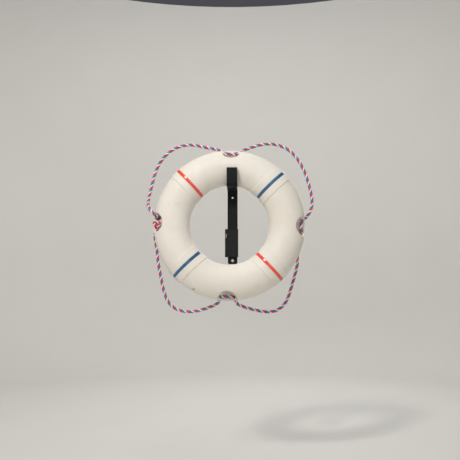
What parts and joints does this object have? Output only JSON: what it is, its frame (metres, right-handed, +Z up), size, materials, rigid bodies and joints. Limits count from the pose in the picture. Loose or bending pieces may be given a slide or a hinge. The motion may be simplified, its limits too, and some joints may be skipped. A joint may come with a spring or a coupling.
{
  "type": "ring lifebuoy",
  "caption": "Cream ring lifebuoy with coloured bands and a laced grab rope, hanging on a black hooked wall bracket that slides in a clamp.",
  "frame": {"origin": "midway between the bracket's two wall holes, on the wall plane", "axes": "+Z up, -Y out of the wall towards the viewer, +X to the viewer's right"},
  "size_m": [0.5744, 0.1302, 0.594],
  "materials": {
    "shell": "satin moulded polyethylene",
    "foam": "closed-cell foam",
    "band_red": "gloss",
    "band_blue": "gloss",
    "rope": "three-strand laid rope in red, white and blue",
    "black_steel": "satin black powder coat",
    "black_rubber": "matt",
    "black_plastic": "semi-gloss",
    "bright_steel": "bright"
  },
  "bodies": {
    "wall_part": {"base_bar": "black_steel", "wall_eyelets": "bright_steel", "clamp_sleeve": "black_plastic", "sleeve_pins": "bright_steel"},
    "clamp_wheel": {"thumb_wheel": "bright_steel", "wheel_axle": "bright_steel"},
    "hook": {"hook_bar": "black_steel", "shelf_pad": "black_rubber", "lip_pad": "black_rubber", "pad_rivets": "black_steel"},
    "ring": {"front_shell": "shell", "back_shell": "shell", "foam_core": "foam", "band_upper_left": "band_red", "band_upper_right": "band_blue", "band_lower_left": "band_blue", "band_lower_right": "band_red", "filler_plug": "shell", "vent_plug": "shell", "grab_rope": "rope", "start_knot": "rope", "end_knot": "rope"}
  },
  "joints": [
    {"name": "height_adjust", "type": "slide", "parent": "wall_part", "child": "hook", "axis": [0, 0, 1], "range_m": [-0.007, 0.02]},
    {"name": "ring_lift", "type": "slide", "parent": "hook", "child": "ring", "axis": [0, 0, 1], "range_m": [0, 0.057]},
    {"name": "clamp_wheel_turn", "type": "hinge", "parent": "wall_part", "child": "clamp_wheel", "pos_m": [-0.022, -0.0072, -0.024], "axis": [1, 0, 0], "range_deg": [0, 180]}
  ]
}
